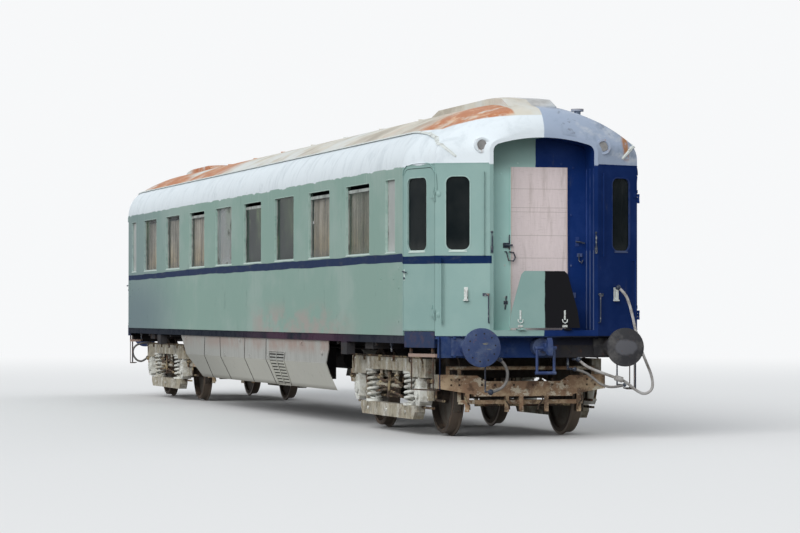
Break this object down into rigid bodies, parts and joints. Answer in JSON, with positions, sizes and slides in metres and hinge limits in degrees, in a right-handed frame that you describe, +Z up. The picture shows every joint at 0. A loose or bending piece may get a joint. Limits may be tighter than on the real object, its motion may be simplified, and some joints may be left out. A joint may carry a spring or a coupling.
{
  "type": "passenger coach",
  "caption": "Four-axle railway passenger coach with rounded portal ends, side doors on tapered corners, bogies, buffers, skirts and a two-tone end.",
  "frame": {"origin": "middle of the coach on the floor under the wheel flanges", "axes": "+X towards the two-tone end, +Y to the left of it, +Z up"},
  "size_m": [21.6, 2.87, 4.0998],
  "materials": {
    "roof_paint": "satin",
    "roof_bare": "matt, weathered",
    "body_green": "satin",
    "body_blue": "gloss",
    "body_two_tone": "satin",
    "sash_metal": "dull",
    "glass": "clear",
    "rail_steel": "worn",
    "hose_rubber": "weathered",
    "floor_wood": "worn",
    "underframe_black": "matt",
    "buffer_paint": "satin",
    "draw_gear_steel": "satin",
    "skirt_grey": "weathered",
    "lamp_glass": "ribbed",
    "lining_wood": "varnished",
    "seat_fabric": "woven",
    "curtain_cloth": "faded",
    "plywood": "faded",
    "bogie_paint": "weathered, rusty",
    "wheel_steel": "dull"
  },
  "bodies": {
    "coach": {"roof": "roof_paint", "roof_end_covers": "roof_bare", "roof_ventilators": "roof_bare", "rain_strips": "roof_paint", "marker_lamps": "lamp_glass", "side_wall_right": "body_green", "side_wall_left": "body_green", "end_wall_front": "body_two_tone", "end_wall_rear": "body_green", "sash_frames": "sash_metal", "window_glass": "glass", "door_frames": "body_green", "floor": "floor_wood", "underframe": "underframe_black", "headstocks": "underframe_black", "centre_sills": "underframe_black", "bolsters": "underframe_black", "buffer_casings": "buffer_paint", "buffer_heads": "buffer_paint", "draw_gear": "draw_gear_steel", "skirts": "skirt_grey", "footsteps": "underframe_black", "handrails": "rail_steel", "partitions": "lining_wood", "seats": "seat_fabric", "curtains": "curtain_cloth", "plywood_panel": "plywood", "underfloor_equipment": "underframe_black", "hose_fittings": "rail_steel", "hose_collar": "rail_steel", "heating_hose": "hose_rubber", "brake_hose": "hose_rubber", "jumper_hose": "hose_rubber", "brake_hose_rear": "hose_rubber"},
    "door_front_right": {"door_front_right": "body_green", "door_glass_front_right": "glass"},
    "door_front_left": {"door_front_left": "body_blue", "door_glass_front_left": "glass"},
    "door_rear_right": {"door_rear_right": "body_green", "door_glass_rear_right": "glass"},
    "door_rear_left": {"door_rear_left": "body_green", "door_glass_rear_left": "glass"},
    "end_door_rear": {"end_door_rear": "body_green", "end_door_rear_glass": "glass"},
    "bridge_plate_front": {"bridge_plate_front": "body_two_tone"},
    "bridge_plate_rear": {"bridge_plate_rear": "body_green"},
    "bogie_front": {"bogie_front_frame": "bogie_paint", "bogie_front_axleboxes": "bogie_paint", "bogie_front_springs": "bogie_paint", "bogie_front_brake_gear": "bogie_paint"},
    "wheelset_front_outer": {"wheelset_front_outer": "wheel_steel"},
    "wheelset_front_inner": {"wheelset_front_inner": "wheel_steel"},
    "bogie_rear": {"bogie_rear_frame": "bogie_paint", "bogie_rear_axleboxes": "bogie_paint", "bogie_rear_springs": "bogie_paint", "bogie_rear_brake_gear": "bogie_paint"},
    "wheelset_rear_outer": {"wheelset_rear_outer": "wheel_steel"},
    "wheelset_rear_inner": {"wheelset_rear_inner": "wheel_steel"}
  },
  "joints": [
    {"name": "door_front_right_hinge", "type": "hinge", "parent": "coach", "child": "door_front_right", "pos_m": [10.13089, -1.26625, 2.1], "axis": [0, 0, 1], "range_deg": [0, 95]},
    {"name": "door_front_left_hinge", "type": "hinge", "parent": "coach", "child": "door_front_left", "pos_m": [10.13089, 1.26625, 2.1], "axis": [0, 0, -1], "range_deg": [0, 95]},
    {"name": "door_rear_right_hinge", "type": "hinge", "parent": "coach", "child": "door_rear_right", "pos_m": [-10.13089, -1.26625, 2.1], "axis": [0, 0, -1], "range_deg": [0, 95]},
    {"name": "door_rear_left_hinge", "type": "hinge", "parent": "coach", "child": "door_rear_left", "pos_m": [-10.13089, 1.26625, 2.1], "axis": [0, 0, 1], "range_deg": [0, 95]},
    {"name": "end_door_rear_hinge", "type": "hinge", "parent": "coach", "child": "end_door_rear", "pos_m": [-10.014, 0.376, 2.1], "axis": [0, 0, 1], "range_deg": [0, 90]},
    {"name": "bridge_plate_front_hinge", "type": "hinge", "parent": "coach", "child": "bridge_plate_front", "pos_m": [10.431, 0, 1.296], "axis": [0, 1, 0], "range_deg": [0, 90]},
    {"name": "bridge_plate_rear_hinge", "type": "hinge", "parent": "coach", "child": "bridge_plate_rear", "pos_m": [-10.431, 0, 1.296], "axis": [0, -1, 0], "range_deg": [0, 90]},
    {"name": "bogie_front_swivel", "type": "hinge", "parent": "coach", "child": "bogie_front", "pos_m": [7.45, 0, 0.965], "axis": [0, 0, 1], "range_deg": [-3, 3]},
    {"name": "wheelset_front_outer_spin", "type": "hinge", "parent": "bogie_front", "child": "wheelset_front_outer", "pos_m": [8.9, 0, 0.53], "axis": [0, 1, 0], "continuous": true},
    {"name": "wheelset_front_inner_spin", "type": "hinge", "parent": "bogie_front", "child": "wheelset_front_inner", "pos_m": [6, 0, 0.53], "axis": [0, 1, 0], "continuous": true},
    {"name": "bogie_rear_swivel", "type": "hinge", "parent": "coach", "child": "bogie_rear", "pos_m": [-7.45, 0, 0.965], "axis": [0, 0, 1], "range_deg": [-3, 3]},
    {"name": "wheelset_rear_outer_spin", "type": "hinge", "parent": "bogie_rear", "child": "wheelset_rear_outer", "pos_m": [-8.9, 0, 0.53], "axis": [0, 1, 0], "continuous": true},
    {"name": "wheelset_rear_inner_spin", "type": "hinge", "parent": "bogie_rear", "child": "wheelset_rear_inner", "pos_m": [-6, 0, 0.53], "axis": [0, 1, 0], "continuous": true}
  ]
}
